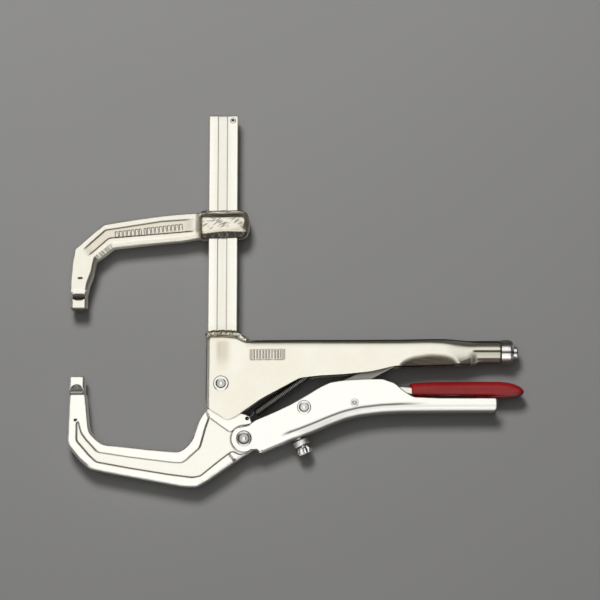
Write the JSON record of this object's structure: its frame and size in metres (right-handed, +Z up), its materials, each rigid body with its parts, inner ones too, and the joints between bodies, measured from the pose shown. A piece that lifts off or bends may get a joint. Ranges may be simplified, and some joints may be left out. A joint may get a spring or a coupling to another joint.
{
  "type": "locking c clamp",
  "caption": "Over-centre locking plier clamp: a forged lower jaw closes by toggle handles towards a forged arm that slides on a flat rail.",
  "frame": {"origin": "centre of the bounding box in plan, on the surface that the clamp lies on", "axes": "+X along the handles away from the jaws, +Y along the rail towards its free end, +Z up out of the clamp's flat side"},
  "size_m": [0.3194, 0.2656, 0.021],
  "materials": {
    "nickel_sheet": "pressed sheet steel, satin nickel plate",
    "forged_nickel": "forged steel, blasted and nickel plated",
    "rail_steel": "drawn flat bar, bright nickel plate",
    "bright_hardware": "turned and knurled steel, bright zinc plate",
    "dark_steel": "hardened steel, oiled",
    "red_vinyl": "dip-moulded vinyl, gloss"
  },
  "bodies": {
    "upper_handle": {"upper_handle_shell": "nickel_sheet", "rail": "rail_steel", "rail_stop_pin": "bright_hardware", "rail_weld_bead": "nickel_sheet", "jaw_pivot_rivet": "bright_hardware", "spring_anchor_lug": "dark_steel", "spindle_bush": "bright_hardware", "jaw_spring": "dark_steel"},
    "arm": {"sliding_arm": "forged_nickel"},
    "jaw": {"lower_jaw": "forged_nickel", "handle_pivot_rivet": "bright_hardware"},
    "lower_handle": {"lower_handle_shell": "nickel_sheet", "link_rivet": "bright_hardware", "release_lever_rivet": "bright_hardware", "pressure_screw_bush": "bright_hardware"},
    "link": {"toggle_link": "dark_steel"},
    "lever": {"release_lever": "nickel_sheet", "release_lever_grip": "red_vinyl"},
    "thrust_cap": {"adjusting_thrust_cap": "dark_steel"},
    "spindle": {"adjusting_spindle": "bright_hardware"},
    "pressure_foot": {"pressure_pin": "dark_steel"},
    "pressure_screw": {"pressure_screw": "bright_hardware"},
    "lock_nut": {"pressure_lock_nut": "bright_hardware"}
  },
  "joints": [
    {"name": "arm_slide", "type": "slide", "parent": "upper_handle", "child": "arm", "axis": [0, 1, 0], "range_m": [-0.0468, 0.063]},
    {"name": "jaw_open", "type": "hinge", "parent": "upper_handle", "child": "jaw", "pos_m": [-0.05173, -0.05947, 0.0105], "axis": [0, 0, 1], "range_deg": [0, 18], "deforming": ["jaw_spring"]},
    {"name": "handle_open", "type": "hinge", "parent": "jaw", "child": "lower_handle", "pos_m": [-0.03563, -0.0977, 0.0105], "axis": [0, 0, 1], "range_deg": [-56, 0]},
    {"name": "link_swing", "type": "hinge", "parent": "lower_handle", "child": "link", "pos_m": [0.00602, -0.07611, 0.0105], "axis": [0, 0, 1], "range_deg": [0, 58]},
    {"name": "release_press", "type": "hinge", "parent": "lower_handle", "child": "lever", "pos_m": [0.04102, -0.07292, 0.0105], "axis": [0, 0, 1], "range_deg": [-3.4, 0]},
    {"name": "spindle_travel", "type": "slide", "parent": "upper_handle", "child": "thrust_cap", "axis": [1, 0, 0], "range_m": [0, 0.012]},
    {"name": "spindle_turn", "type": "hinge", "parent": "thrust_cap", "child": "spindle", "pos_m": [0.13622, -0.03667, 0.0105], "axis": [1, 0, 0], "range_deg": [0, 3460]},
    {"name": "pressure_travel", "type": "slide", "parent": "lower_handle", "child": "pressure_foot", "axis": [0.4259, -0.9048, 0], "range_m": [0, 0.0021]},
    {"name": "pressure_turn", "type": "hinge", "parent": "pressure_foot", "child": "pressure_screw", "pos_m": [0.00182, -0.09558, 0.0105], "axis": [0.4259, -0.9048, 0], "range_deg": [0, 1084]},
    {"name": "lock_nut_turn", "type": "hinge", "parent": "lower_handle", "child": "lock_nut", "pos_m": [0.00182, -0.09558, 0.0105], "axis": [0.4259, -0.9048, 0], "range_deg": [0, 180]}
  ],
  "couplings": [
    {"joint": "handle_open", "follows": "jaw_open", "ratio": -3.1},
    {"joint": "link_swing", "follows": "jaw_open", "ratio": 3.2},
    {"joint": "spindle_turn", "follows": "spindle_travel", "rad_per_m": 5026.5},
    {"joint": "pressure_turn", "follows": "pressure_travel", "rad_per_m": 8976}
  ]
}
